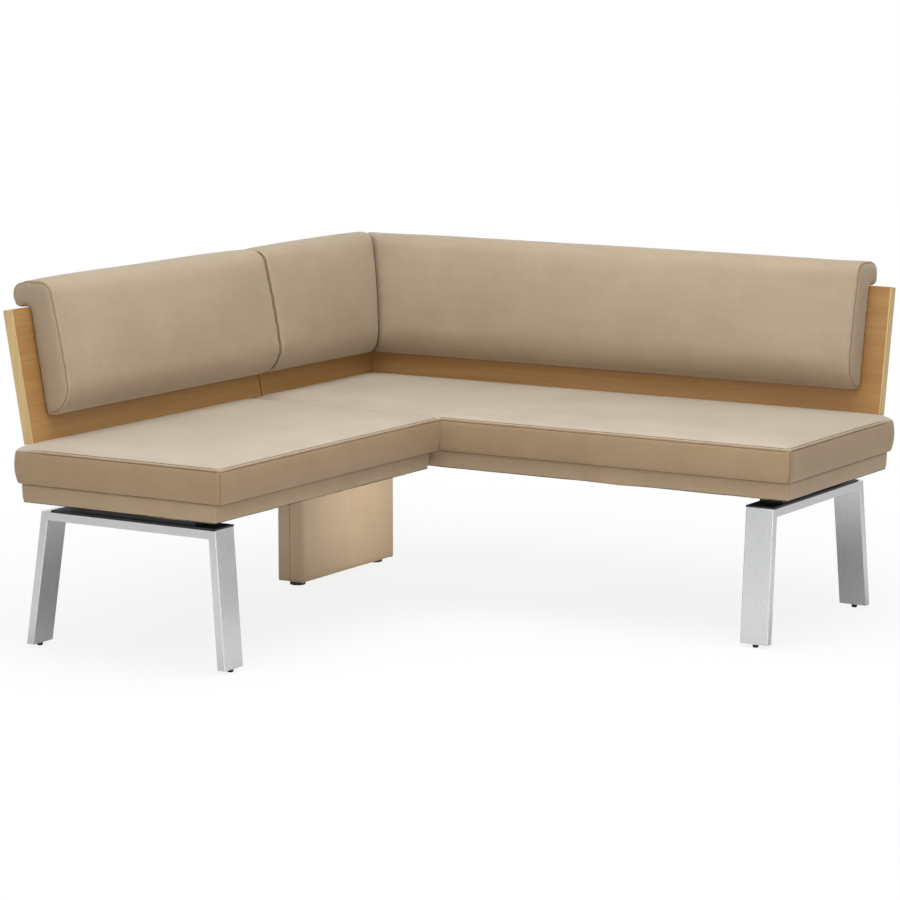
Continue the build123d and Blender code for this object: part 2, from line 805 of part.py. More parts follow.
leg_ends = ("front", "rear")
floor_cut = Plane.XY.offset(leg_glide_height)
leg_overrun = 2 * leg_tube_thickness
leg_run = leg_frame_height + 2 * leg_overrun
for wing, side in frame_side.items():
    middle, rear = frame_middle[wing], frame_rear[wing]
    front = rear + leg_frame_length
    with BuildPart() as crossbar:
        bar_start = wing_point(wing, middle, rear - leg_overrun, leg_top - leg_tube_thickness / 2)
        across, along = wing_direction(wing, 1, 0), wing_direction(wing, 0, 1)
        bar_plane = Plane(origin=bar_start, x_dir=across, z_dir=along)
        extrude(tube_section(bar_plane), amount=leg_frame_length + 2 * leg_overrun)
        for end in leg_ends:
            split(bisect_by=leg_mitre(wing, end), keep=Keep.TOP)
        drill(leg_bolts[wing], leg_tube_wall + overcut)
        for start, direction in leg_bolts[wing]:
            rod(start, -direction, access_hole_radius, leg_tube_thickness, mode=Mode.SUBTRACT)
    write(crossbar, f"{side}_leg_crossbar")

    for end in leg_ends:
        with BuildPart() as leg:
            extrude(tube_section(leg_plane(wing, end, -leg_overrun)), amount=leg_run)
            split(bisect_by=leg_mitre(wing, end), keep=Keep.BOTTOM)
            split(bisect_by=floor_cut, keep=Keep.TOP)
        write(leg, f"{side}_{end}_leg")

    with BuildPart() as plate:
        half = leg_tube_width / 2
        wing_block(wing, (middle - half, rear + leg_plate_rear_inset, leg_top),
                   (middle + half, front, plate_top))
        drill(leg_bolts[wing], leg_bolt_length)
    write(plate, f"{side}_leg_plate")

    with BuildPart() as spacer:
        half = spacer_width / 2
        wing_block(wing, (middle - half, rear + spacer_rear_inset, plate_top),
                   (middle + half, front - spacer_front_inset, seat_bottom))
        drill(leg_bolts[wing], leg_bolt_length)
    write(spacer, f"{side}_leg_spacer")

with BuildPart() as leg_frame_bolts:
    for start, direction in leg_bolts["long"] + leg_bolts["short"]:
        hex_bolt(start, direction, leg_bolt_length)
write(leg_frame_bolts, "leg_frame_bolts")


# Plugs in the leg ends, and the levelling glides that screw into them

def leg_plug(wing, end):
    """A plug that fills the bore at a leg's foot, cut level with the tube."""
    bore_width, bore_thickness = leg_tube_width - 2 * leg_tube_wall, leg_tube_thickness - 2 * leg_tube_wall
    _, down, _ = leg_line(wing, end)
    drop = leg_frame_height / -down.Y - plug_height
    with BuildPart() as plug:
        with BuildSketch(leg_plane(wing, end, drop)):
            Rectangle(bore_width - 2 * plug_gap, bore_thickness - 2 * plug_gap)
        extrude(amount=plug_height + leg_overrun)
        split(bisect_by=floor_cut, keep=Keep.TOP)
        rod(leg_foot(wing, end), upward, leg_stem_radius + stem_clearance, leg_stem_length + overcut,
            mode=Mode.SUBTRACT)
    return plug.part


with BuildPart() as leg_plugs:
    for wing in frame_side:
        for end in leg_ends:
            add(leg_plug(wing, end))
write(leg_plugs, "leg_plugs")


def write_glide(name, seat_point, height, radius, stem_radius, stem_length):
    """A levelling glide: a foot with a chamfered edge on a stem that runs up into its socket."""
    floor_point = (seat_point[0], seat_point[1], 0)
    with BuildPart() as glide:
        rod(floor_point, upward, radius, height)
        chamfer(glide.edges().group_by(Axis.Z)[0], glide_chamfer)
        rod(seat_point, upward, stem_radius, stem_length)
    write(glide, name)


for wing, side in frame_side.items():
    for end in leg_ends:
        write_glide(f"{side}_{end}_glide", leg_foot(wing, end), leg_glide_height, leg_glide_radius,
                    leg_stem_radius, leg_stem_length)


# Pedestal

core_low = pedestal_reach + pedestal_cover_thickness
core_high = pedestal_reach + pedestal_thickness - pedestal_cover_thickness
core_back = pedestal_rear_depth + pedestal_cover_thickness
core_front = pedestal_front_depth - pedestal_cover_thickness
post_low = core_low + pedestal_panel_thickness
post_high = core_high - pedestal_panel_thickness
pedestal_glide_depths = {
    "rear": pedestal_rear_depth + pedestal_glide_inset,
    "front": pedestal_front_depth - pedestal_glide_inset,
}
pedestal_glides = {end: wing_point("long", pedestal_middle, depth, pedestal_glide_height)
                   for end, depth in pedestal_glide_depths.items()}

with BuildPart() as pedestal_core:
    for low in (core_low, post_high):
        wing_block("long", (low, core_back, pedestal_glide_height),
                   (low + pedestal_panel_thickness, core_front, seat_bottom))
    for back in (core_back, core_front - pedestal_post_width):
        wing_block("long", (post_low, back, pedestal_glide_height),
                   (post_high, back + pedestal_post_width, seat_bottom))
    for bottom in (pedestal_glide_height, seat_bottom - pedestal_rail_height):
        wing_block("long", (post_low, core_back + pedestal_post_width, bottom),
                   (post_high, core_front - pedestal_post_width, bottom + pedestal_rail_height))
    for glide_seat in pedestal_glides.values():
        rod(glide_seat, upward, pedestal_stem_radius + stem_clearance, pedestal_stem_length + overcut,
            mode=Mode.SUBTRACT)
    drill(pedestal_studs, pedestal_stud_length)
write(pedestal_core, "pedestal_core")

pedestal_height = seat_bottom - pedestal_glide_height
pedestal_centre = wing_point("long", pedestal_middle, pedestal_centre_depth, pedestal_glide_height)
with BuildPart() as pedestal_cover:
    with BuildSketch(Plane(origin=pedestal_centre)):
        RectangleRounded(pedestal_thickness, pedestal_width, pedestal_edge_radius)
        Rectangle(core_high - core_low, core_front - core_back, mode=Mode.SUBTRACT)
    extrude(amount=pedestal_height)
    split(bisect_by=Plane(origin=pedestal_centre, z_dir=(1, 0, 0)), keep=Keep.BOTH)
write(pedestal_cover, "pedestal_cover")

with BuildPart() as stud_set:
    for start, direction in pedestal_studs:
        rod(start, direction, bolt_radius, pedestal_stud_length)
write(stud_set, "pedestal_studs")

for end, glide_seat in pedestal_glides.items():
    write_glide(f"pedestal_{end}_glide", glide_seat, pedestal_glide_height, pedestal_glide_radius,
                pedestal_stem_radius, pedestal_stem_length)


# Connectors between the two seat frames

with BuildPart() as connectors:
    for depth in connector_depths:
        wing_block("short", (frame_front - connector_overlap, depth - connector_width / 2,
                             seat_bottom - connector_thickness),
                   (frame_start["short"] + connector_overlap, depth + connector_width / 2, seat_bottom))
    drill(connector_bolts, connector_thickness)
write(connectors, "connector_plates")

with BuildPart() as connector_bolt_set:
    for start, direction in connector_bolts:
        hex_bolt(start, direction, connector_bolt_length)
write(connector_bolt_set, "connector_bolts")
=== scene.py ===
import json
import math

import bmesh
import bpy
import numpy
from mathutils import Matrix, Vector, noise


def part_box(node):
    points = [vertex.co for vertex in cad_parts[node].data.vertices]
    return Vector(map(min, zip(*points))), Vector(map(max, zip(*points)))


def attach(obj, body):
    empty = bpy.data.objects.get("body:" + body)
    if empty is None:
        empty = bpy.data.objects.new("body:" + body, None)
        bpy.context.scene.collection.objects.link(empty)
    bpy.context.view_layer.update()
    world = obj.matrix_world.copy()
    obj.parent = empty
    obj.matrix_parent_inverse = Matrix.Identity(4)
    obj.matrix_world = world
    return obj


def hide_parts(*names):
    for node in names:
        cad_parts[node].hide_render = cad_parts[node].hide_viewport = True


# Corner bench: oak back boards and steel legs keep their CAD shapes and get
# finishes here. Cushions, pads, seat bands, seams and the pedestal's cover are
# modelled as soft goods. Metres, in the frame of the CAD model.

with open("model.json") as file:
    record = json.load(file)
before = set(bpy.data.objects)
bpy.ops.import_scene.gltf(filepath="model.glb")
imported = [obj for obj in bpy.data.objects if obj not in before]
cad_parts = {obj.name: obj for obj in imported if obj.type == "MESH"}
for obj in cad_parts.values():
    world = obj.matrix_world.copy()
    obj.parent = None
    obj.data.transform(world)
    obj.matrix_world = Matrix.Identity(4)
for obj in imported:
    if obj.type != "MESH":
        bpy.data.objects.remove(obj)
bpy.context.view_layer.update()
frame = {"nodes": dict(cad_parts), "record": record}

# Camera of the photograph
camera_place = (4.0903, -6.7041, 1.6759)
camera_azimuth = 31.601
camera_elevation = 9.012
camera_lens = 134.42
camera_sensor = 36

# Seats, in wing coordinates: reach along the wing, depth from its back edge
seat_pitch = 0.012
seat_side_height = 0.078
seat_crown = 0.016
shoulder_length = 0.013
seat_side_pull = 0.002
seat_side_swell = 0.005
seat_crease_inset = 0.006
seat_seam_inset = 0.003
seat_belly = 0.55
front_corner_radius = 0.011
back_corner_radius = 0.017
board_press = 0.0004
notch_half_width = 0.026
notch_depth = 0.0125
seat_pressure = 3
seat_swell = 0.005
seam_hold = 0.0015
bracket_separation = 0.1

# Boards: how far they lean back, how far they rise along that lean, and the strip of painted shadow in the
# open joint in them
lean = math.radians(10)
board_rise = 0.31
joint_width = 0.0028
joint_thickness = 0.0008

# Seams, and the dark strands of painted shadow in a cushion's crease and between pads
welt_radius = 0.0022
welt_rise = 0.0006
welt_fade = 0.07
welt_least = 0.15
welt_back_end = 0.035
thread_radius = 0.0007
thread_above = 0.0036
thread_below = 0.0026
# The strand along the crease at a cushion's foot is painted shadow.
crease_shadow_radius = 0.0012
pad_piping_radius = 0.0016
pad_piping_inset = 0.0045
pad_thread_spacing = 0.0030
# The strand in the gap between the corner pad and the short pad is painted shadow.
gap_shadow_inset = 0.0060
gap_shadow_radius = 0.0012
piping_off_board = 0.012
piping_over_board = 0.335
shortest_run = 4
cut_tolerance = 1e-6

# Bands round the seat frames
band_pitch = 0.011
band_wall = 0.0045
band_taper = 0.002
band_tuck = 0.0025
band_tuck_height = 0.009
band_ripple = 0.0009
band_ripple_fade = 0.6
band_ripple_scale = 14
band_ripple_rise_scale = 9
band_drop = 0.002
band_wave = 0.0019
band_wave_scale = 9
band_wave_slice = 3.1

# Back pads
weld_distance = 0.00002
pad_voxel = 0.0075
pad_filling = 0.0031
pad_pressure = 3
pad_swell = 0.003
pin_depth = 0.010
mitre_clearance = 0.2
end_face_normal = 0.95
smoothing_factor = 0.5
pad_smoothing = 2
pad_face_smoothing = 4
pad_gap_recess = 0.0045
pad_gap_slope = 0.018
hook_squareness = 0.6

# Pedestal cover
pedestal_pitch = 0.012
pedestal_edge = 0.014
pedestal_edge_segments = 4
pedestal_edge_profile = 0.5
pedestal_face_share = 0.99
pedestal_wall = 0.0045
pedestal_bulge = 0.0012
pedestal_seam_depth = 0.0016
pedestal_seam_width = 0.007
pedestal_wave_scale = 11
pedestal_narrow_wave = 0.0004
pedestal_tuck = 0.004
pedestal_tuck_height = 0.014
pedestal_drop = 0.0015

# Cloth physics
cloth_frames = 20
cloth_quality = 5
cloth_evening = 10
least_step = 1e-9

# Studio: the floor, the ring in which its shadow fades to white, and the soft light from all round
floor_size = 30
floor_grey = 0.86
shadow_fade_start = 0.8
shadow_fade_end = 2.4
shadow_whiteness = 0.85
soft_light_strength = 0.6

# Limits that tell faces, edges and points apart
face_share = 0.999
level_normal = 0.9
touch_distance = 0.001
tiny = 1e-5


# Places in the two wings

long_low, long_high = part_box("long_seat_cushion")
corner = Vector((long_low.x, long_high.y, 0))
seat_depth = long_high.y - long_low.y
crease_height = long_low.z
seam_height = crease_height + seat_side_height

# A wing's matrix turns reach, depth and height into the frame's X, Y and Z
wing_matrix = {
    "long": Matrix(((1, 0, 0, corner.x), (0, -1, 0, corner.y), (0, 0, 1, 0), (0, 0, 0, 1))),
    "short": Matrix(((0, 1, 0, corner.x), (-1, 0, 0, corner.y), (0, 0, 1, 0), (0, 0, 0, 1))),
}
board_wing = {"long": "long", "corner": "short", "short": "short"}


def wing_direction(wing, reach, depth, height):
    """A direction in wing coordinates, turned into the frame."""
    return wing_matrix[wing].to_3x3() @ Vector((reach, depth, height))


def wing_box(node, wing):
    """A CAD node's lowest and highest reach, depth and height in one wing."""
    inverse = wing_matrix[wing].inverted()
    ends = [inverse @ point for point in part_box(node)]
    return Vector(map(min, *ends)), Vector(map(max, *ends))


def bracket_reaches(node, wing):
    """The middle of each bracket in a node, along its wing."""
    inverse = wing_matrix[wing].inverted()
    reaches = sorted((inverse @ vertex.co).x for vertex in frame["nodes"][node].data.vertices)
    groups = [[reaches[0]]]
    for reach in reaches[1:]:
        if reach - groups[-1][-1] > bracket_separation:
            groups.append([])
        groups[-1].append(reach)
    return [(group[0] + group[-1]) / 2 for group in groups]


def board_foot(board):
    """The front lower edge of a board, in wing coordinates."""
    inverse = wing_matrix[board_wing[board]].inverted()
    points = [inverse @ vertex.co for vertex in frame["nodes"][f"{board}_back_board"].data.vertices]
    return max(points, key=lambda point: point.y)


def board_place(point, wing, foot):
    """How far a point lies in front of a board's face, and how far up from its foot."""
    local = wing_matrix[wing].inverted() @ point
    depth = local.y - foot.y
    height = local.z - foot.z
    offset = depth * math.cos(lean) + height * math.sin(lean)
    rise = height * math.cos(lean) - depth * math.sin(lean)
    return offset, rise


# Node trees

def add_node(tree, kind, inputs=None, **settings):
    """A node with its settings, whose inputs take values or other nodes' sockets."""
    made = tree.nodes.new(kind)
    for key, value in settings.items():
        setattr(made, key, value)
    for key, value in (inputs or {}).items():
        if isinstance(value, bpy.types.NodeSocket):
            tree.links.new(value, made.inputs[key])
        else:
            made.inputs[key].default_value = value
    return made


def new_material(name, **sockets):
    """A material whose shader has constant values on the given sockets."""
    material = bpy.data.materials.new(name)
    material.use_nodes = True
    tree = material.node_tree
    shader = tree.nodes["Principled BSDF"]
    for key, value in sockets.items():
        shader.inputs[key.replace("_", " ")].default_value = value
    return material, tree, shader


def object_point(tree, scale=(1, 1, 1), turn=(0, 0, 0)):
    """Object coordinates, stretched and turned."""
    place = add_node(tree, "ShaderNodeTexCoord").outputs["Object"]
    mapping = add_node(tree, "ShaderNodeMapping", {"Vector": place, "Scale": scale, "Rotation": turn})
    return mapping.outputs["Vector"]


def noise_value(tree, point, scale, detail=3, roughness=0.5):
    """Smooth noise from 0 to 1."""
    inputs = {"Vector": point, "Scale": scale, "Detail": detail, "Roughness": roughness}
    return add_node(tree, "ShaderNodeTexNoise", inputs).outputs["Fac"]


def ramp(tree, value, *stops):
    """A colour ramp from (place, colour) stops; a colour may be one grey value."""
    made = add_node(tree, "ShaderNodeValToRGB", {"Fac": value})
    elements = made.color_ramp.elements
    while len(elements) < len(stops):
        elements.new(0.5)
    for element, (place, colour) in zip(elements, stops):
        element.position = place
        grey = not hasattr(colour, "__len__")
        element.color = (colour, colour, colour, 1) if grey else (*colour, 1)
    return made.outputs["Color"]


def mix_colour(tree, factor, first, second, blend="MIX"):
    """Two colours mixed by a factor."""
    made = add_node(tree, "ShaderNodeMix", data_type="RGBA", blend_type=blend)
    for index, value in ((0, factor), (6, first), (7, second)):
        if isinstance(value, bpy.types.NodeSocket):
            tree.links.new(value, made.inputs[index])
        else:
            made.inputs[index].default_value = value if index == 0 else (*value, 1)
    return made.outputs[2]


def math_value(tree, operation, first, second):
    """A sum, product or other operation on two values."""
    made = add_node(tree, "ShaderNodeMath", {0: first, 1: second}, operation=operation)
    return made.outputs[0]


def bump(tree, shader, height, distance, strength=1.0):
    """Relief on the shader's normal."""
    inputs = {"Height": height, "Distance": distance, "Strength": strength}
    tree.links.new(add_node(tree, "ShaderNodeBump", inputs).outputs["Normal"], shader.inputs["Normal"])


# The wave texture runs this many times faster than its scale says
wave_texture_factor = 20


def threads(tree, pitch):
    """Threads that cross on every face: sine bands along X, Y and Z added up."""
    point = object_point(tree)
    wave_scale = 2 * math.pi / pitch / wave_texture_factor
    bands = [add_node(tree, "ShaderNodeTexWave",
                      {"Vector": point, "Scale": wave_scale, "Distortion": 1.2, "Detail": 1.0},
                      wave_type="BANDS", bands_direction=axis).outputs["Fac"] for axis in "XYZ"]
    return math_value(tree, "ADD", math_value(tree, "ADD", bands[0], bands[1]), bands[2])


# Finishes

def make_cover_fabric(name, dark, light):
    """Beige brushed microfibre: a cloudy nap over a fine weave, pale at grazing angles."""
    material, tree, shader = new_material(name, Roughness=0.58, Sheen_Weight=0.55, Sheen_Roughness=0.3,
                                          Sheen_Tint=(1.0, 0.93, 0.84, 1), Specular_IOR_Level=0.4)
    point = object_point(tree)
    cloudiness = noise_value(tree, point, 5.5, detail=4, roughness=0.6)
    clouds = ramp(tree, cloudiness, (0.32, dark), (0.68, light))
    streaks = noise_value(tree, object_point(tree, (9, 9, 160)), 1, detail=2, roughness=0.5)
    slubs = noise_value(tree, object_point(tree, (150, 150, 14)), 1, detail=2, roughness=0.5)
    nap = math_value(tree, "MULTIPLY", streaks, slubs)
    napped = mix_colour(tree, 0.13, clouds, ramp(tree, nap, (0.12, 0.62), (0.42, 1.0)), "MULTIPLY")
    weave = threads(tree, 0.0013)
    speckled = mix_colour(tree, 0.10, napped, ramp(tree, weave, (0.2, 0.55), (1.0, 1.0)), "MULTIPLY")
    tree.links.new(speckled, shader.inputs["Base Color"])
    fuzz = noise_value(tree, point, 900, detail=2, roughness=0.6)
    bump(tree, shader, math_value(tree, "ADD", weave, fuzz), distance=0.0002, strength=0.45)
    return material


def make_piping_fabric():
    """The same cloth, stretched over the seams and a little mottled."""
    material, tree, shader = new_material("piping_fabric", Roughness=0.65, Sheen_Weight=0.6,
                                          Sheen_Roughness=0.32, Sheen_Tint=(1.0, 0.97, 0.92, 1),
                                          Specular_IOR_Level=0.4)
    mottle = noise_value(tree, object_point(tree), 40, detail=4, roughness=0.6)
    tone = ramp(tree, mottle, (0.3, (0.37, 0.27, 0.165)), (0.7, (0.45, 0.335, 0.215)))
    tree.links.new(tone, shader.inputs["Base Color"])
    bump(tree, shader, threads(tree, 0.0013), distance=0.0002, strength=0.5)
    return material


def make_dull_line(name, dark, light):
    """A dull dark line: thread down in a seam, or painted shadow in a crease, a gap or a joint."""
    material, tree, shader = new_material(name, Roughness=0.9, Specular_IOR_Level=0.1)
    mottle = noise_value(tree, object_point(tree), 300, detail=2, roughness=0.5)
    tone = ramp(tree, mottle, (0.3, dark), (0.7, light))
    tree.links.new(tone, shader.inputs["Base Color"])
    return material


def make_oak(name, along, dark, middle, light):
    """Oiled oak with its grain along one axis: broad figure, fine streaks and pores."""
    material, tree, shader = new_material(name, Specular_IOR_Level=0.35, Coat_Weight=0.06, Coat_Roughness=0.4)

    def grain(lengthways, crossways, detail):
        scale = [lengthways if axis == along else crossways for axis in "XYZ"]
        return noise_value(tree, object_point(tree, scale), 1, detail=detail, roughness=0.6)

    rings = grain(lengthways=1.2, crossways=24, detail=5)
    figure = ramp(tree, rings, (0.30, dark), (0.5, middle), (0.72, light))
    streaks = grain(lengthways=2.4, crossways=230, detail=4)
    streaked = mix_colour(tree, 0.38, figure, ramp(tree, streaks, (0.32, 0.62), (0.66, 1.0)), "MULTIPLY")
    pores = grain(lengthways=24, crossways=900, detail=2)
    pored = mix_colour(tree, 0.35, streaked, ramp(tree, pores, (0.30, 0.5), (0.40, 1.0)), "MULTIPLY")
    tree.links.new(pored, shader.inputs["Base Color"])
    tree.links.new(ramp(tree, streaks, (0.3, 0.58), (0.7, 0.46)), shader.inputs["Roughness"])
    bump(tree, shader, math_value(tree, "ADD", streaks, pores), distance=0.00015, strength=0.35)
    return material


def make_brushed_steel(name, along):
    """Satin steel with fine brush lines along one axis."""
    material, tree, shader = new_material(name, Metallic=1.0)
    brush = [4.0 if axis == along else 1400.0 for axis in "XYZ"]
    lines = noise_value(tree, object_point(tree, brush), 1, detail=3, roughness=0.6)
    haze = noise_value(tree, object_point(tree), 9, detail=3, roughness=0.5)
    tone = ramp(tree, lines, (0.25, (0.60, 0.615, 0.61)), (0.75, (0.70, 0.715, 0.71)))
    hazed = mix_colour(tree, 0.2, tone, ramp(tree, haze, (0.3, 0.8), (0.7, 1.0)), "MULTIPLY")
    tree.links.new(hazed, shader.inputs["Base Color"])
    tree.links.new(ramp(tree, lines, (0.2, 0.34), (0.8, 0.24)), shader.inputs["Roughness"])
    bump(tree, shader, lines, distance=0.00004, strength=0.3)
    return material


def make_zinc():
    """Zinc-plated steel, faintly clouded."""
    material, tree, shader = new_material("zinc_steel", Metallic=1.0)
    clouds = noise_value(tree, object_point(tree), 120, detail=3, roughness=0.6)
    tree.links.new(ramp(tree, clouds, (0.3, (0.50, 0.51, 0.53)), (0.7, (0.66, 0.67, 0.68))),
                   shader.inputs["Base Color"])
    tree.links.new(ramp(tree, clouds, (0.3, 0.45), (0.7, 0.32)), shader.inputs["Roughness"])
    bump(tree, shader, clouds, distance=0.00005, strength=0.3)
    return material


def make_black_steel():
    """Satin black powder coat with a fine orange-peel skin."""
    material, tree, shader = new_material("black_steel", Specular_IOR_Level=0.4)
    peel = noise_value(tree, object_point(tree), 420, detail=2, roughness=0.5)
    tree.links.new(ramp(tree, peel, (0.3, (0.010, 0.010, 0.010)), (0.7, (0.020, 0.020, 0.020))),
                   shader.inputs["Base Color"])
    tree.links.new(ramp(tree, peel, (0.3, 0.55), (0.7, 0.42)), shader.inputs["Roughness"])
    bump(tree, shader, peel, distance=0.0001, strength=0.3)
    return material


def make_black_nylon():
    """Moulded black nylon, matt and slightly scuffed."""
    material, tree, shader = new_material("black_nylon", Specular_IOR_Level=0.35)
    grain = noise_value(tree, object_point(tree), 700, detail=3, roughness=0.6)
    scuffs = noise_value(tree, object_point(tree, (30, 30, 240)), 1, detail=4, roughness=0.6)
    tree.links.new(ramp(tree, scuffs, (0.45, (0.014, 0.014, 0.014)), (0.75, (0.035, 0.034, 0.033))),
                   shader.inputs["Base Color"])
    tree.links.new(ramp(tree, scuffs, (0.4, 0.50), (0.7, 0.66)), shader.inputs["Roughness"])
    bump(tree, shader, grain, distance=0.00008, strength=0.3)
    return material


def make_frame_timber():
    """Planed beech: short flecks over a pale ground."""
    material, tree, shader = new_material("frame_timber", Roughness=0.62)
    flecks = noise_value(tree, object_point(tree, (60, 60, 420)), 1, detail=3, roughness=0.6)
    ground = noise_value(tree, object_point(tree), 14, detail=3, roughness=0.5)
    base = ramp(tree, ground, (0.3, (0.56, 0.40, 0.24)), (0.7, (0.68, 0.51, 0.33)))
    flecked = mix_colour(tree, 0.3, base, ramp(tree, flecks, (0.3, 0.55), (0.55, 1.0)), "MULTIPLY")
    tree.links.new(flecked, shader.inputs["Base Color"])
    bump(tree, shader, flecks, distance=0.0001, strength=0.3)
    return material


def make_sheet_timber(name, dark, light, scale):
    """Raw sheet timber: chips or veneer in mixed tones."""
    material, tree, shader = new_material(name, Roughness=0.75)
    chips = add_node(tree, "ShaderNodeTexVoronoi", {"Vector": object_point(tree, scale), "Scale": 1.0})
    tone = add_node(tree, "ShaderNodeSeparateColor", {"Color": chips.outputs["Color"]}).outputs[0]
    tree.links.new(ramp(tree, tone, (0.1, dark), (0.9, light)), shader.inputs["Base Color"])
    bump(tree, shader, chips.outputs["Distance"], distance=0.0002, strength=0.3)
    return material


def make_inner_cloth(name, dark, light, pitch):
    """Plain cloth that the seat hides: webbing and the dust cover."""
    material, tree, shader = new_material(name, Roughness=0.9, Specular_IOR_Level=0.1)
    weave = threads(tree, pitch)
    tree.links.new(ramp(tree, weave, (0.1, dark), (1.0, light)), shader.inputs["Base Color"])
    bump(tree, shader, weave, distance=0.0003, strength=0.6)
    return material


def make_foam():
    """Open-cell foam."""
    material, tree, shader = new_material("seat_foam", Roughness=0.95, Specular_IOR_Level=0.1)
    cells = add_node(tree, "ShaderNodeTexVoronoi", {"Vector": object_point(tree), "Scale": 500.0})
    depth = cells.outputs["Distance"]
    tree.links.new(ramp(tree, depth, (0.0, (0.52, 0.47, 0.34)), (0.6, (0.80, 0.75, 0.60))),
                   shader.inputs["Base Color"])
    bump(tree, shader, depth, distance=0.0004, strength=0.6)
    return material


# One beige cloth in four tones. The seat tops and the pads get copies painted lighter and paler, as painted
# light from above. The seat sides get a copy painted darker, as painted shade. The bands and the pedestal
# keep the plain tone.
seat_top_painted_light_fabric = make_cover_fabric("seat_top_painted_light_fabric", (0.438, 0.368, 0.285), (0.494, 0.421, 0.332))
seat_side_painted_shade_fabric = make_cover_fabric("seat_side_painted_shade_fabric", (0.306, 0.207, 0.113), (0.348, 0.240, 0.136))
pad_painted_light_fabric = make_cover_fabric("pad_painted_light_fabric", (0.362, 0.280, 0.184), (0.406, 0.317, 0.213))
band_fabric = make_cover_fabric("band_fabric", (0.360, 0.254, 0.150), (0.405, 0.292, 0.180))
piping_fabric = make_piping_fabric()
# Dark strands: thread in the seams, and painted shadow in a cushion's crease and in the gap between pads.
seam_thread_and_painted_shadow = make_dull_line("seam_thread_and_painted_shadow", (0.14, 0.095, 0.052), (0.23, 0.16, 0.095))
joint_shadow = make_dull_line("joint_shadow", (0.035, 0.018, 0.008), (0.065, 0.034, 0.016))
oak_tones = ((0.352, 0.175, 0.055), (0.390, 0.208, 0.070), (0.426, 0.241, 0.085))
lipping_tones = ((0.53, 0.36, 0.155), (0.61, 0.43, 0.195), (0.66, 0.48, 0.235))
oak_along_x = make_oak("oak_long_board", "X", *oak_tones)
oak_along_y = make_oak("oak_short_boards", "Y", *oak_tones)
oak_lipping = make_oak("oak_lipping", "Z", *lipping_tones)
steel_along = {axis: make_brushed_steel(f"leg_steel_{axis.lower()}", axis) for axis in "XYZ"}

slot_finish = {
    "oak_veneer": oak_along_y,
    "oak_lipping": oak_lipping,
    "leg_steel": steel_along["Z"],
    "zinc_steel": make_zinc(),
    "black_steel": make_black_steel(),
    "black_nylon": make_black_nylon(),
    "frame_timber": make_frame_timber(),
    "plywood": make_sheet_timber("plywood", (0.50, 0.36, 0.21), (0.70, 0.55, 0.36), (14, 14, 60)),
    "chipboard": make_sheet_timber("chipboard", (0.36, 0.26, 0.15), (0.66, 0.52, 0.34), (180, 180, 180)),
    "webbing": make_inner_cloth("webbing", (0.02, 0.018, 0.015), (0.09, 0.08, 0.07), 0.003),
    "dust_cover": make_inner_cloth("dust_cover", (0.008, 0.008, 0.008), (0.030, 0.030, 0.030), 0.0018),
    "seat_foam": make_foam(),
    "cover_fabric": band_fabric,
}
node_finish = {
    "long_back_board": oak_along_x,
    "right_leg_crossbar": steel_along["Y"],
    "left_leg_crossbar": steel_along["X"],
}
for subpart in frame["record"]["subparts"]:
    name = subpart["node"]
    finish = node_finish.get(name, slot_finish[subpart["material_slot"]])
    for material_slot in frame["nodes"][name].material_slots:
        material_slot.material = finish


# Soft goods

def add_object(name, data):
    """A new object in the scene."""
    made = bpy.data.objects.new(name, data)
    bpy.context.scene.collection.objects.link(made)
    return made


def finish_piece(name, bm, matrix, *materials):
    """Turn a bmesh drawn in wing coordinates into a smooth piece of the bench."""
    bmesh.ops.transform(bm, matrix=matrix, verts=bm.verts)
    bmesh.ops.recalc_face_normals(bm, faces=bm.faces)
    for face in bm.faces:
        face.smooth = True
    mesh = bpy.data.meshes.new(name)
    bm.to_mesh(mesh)
    bm.free()
    for material in materials:
        mesh.materials.append(material)
    return add_object(name, mesh)


def smooth_more(piece, levels):
    """One or more levels of subdivision."""
    modifier = piece.modifiers.new("Smooth", "SUBSURF")
    modifier.levels = levels
    modifier.render_levels = levels


def add_wall(piece, thickness):
    """Give a sheet its thickness, inwards."""
    wall = piece.modifiers.new("Wall", "SOLIDIFY")
    wall.thickness = thickness
    wall.offset = -1


def join_bench(piece, slot, *nodes):
    """The piece moves with the bench and stands for the given CAD nodes."""
    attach(piece, "bench")
    if nodes:
        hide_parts(*nodes)


def plain_block(low, high):
    """A block between two corners."""
    bm = bmesh.new()
    bmesh.ops.create_cube(bm, size=1)
    bmesh.ops.scale(bm, verts=bm.verts, vec=high - low)
    bmesh.ops.translate(bm, verts=bm.verts, vec=(low + high) / 2)
    return bm


def edge_span(edge, axis):
    """How far an edge runs along one axis."""
    return abs(edge.verts[0].co[axis] - edge.verts[1].co[axis])


def quad_block(low, high, pitch):
    """A block of even quads between two corners."""
    bm = plain_block(low, high)
    for axis in range(3):
        edges = [edge for edge in bm.edges if edge_span(edge, axis) > tiny]
        cuts = max(1, round((high - low)[axis] / pitch) - 1)
        bmesh.ops.subdivide_edges(bm, edges=edges, cuts=cuts, use_grid_fill=True)
    return bm


def round_corner(point, centre):
    """Bring a square corner of a plan onto an arc about a centre."""
    away = Vector((point.x - centre.x, point.y - centre.y))
    if away.length > 0:
        away *= max(abs(away.x), abs(away.y)) / away.length
    point.x = centre.x + away.x
    point.y = centre.y + away.y


def evaluated_bmesh(piece):
    """A bmesh of a piece as its modifiers leave it."""
    evaluated = piece.evaluated_get(bpy.context.evaluated_depsgraph_get())
    bm = bmesh.new()
    bm.from_mesh(evaluated.to_mesh())
    evaluated.to_mesh_clear()
    return bm


def vertex_places(mesh):
    """The places of a mesh's vertices, one row each."""
    places = numpy.empty(len(mesh.vertices) * 3)
    mesh.vertices.foreach_get("co", places)
    return places.reshape(-1, 3)


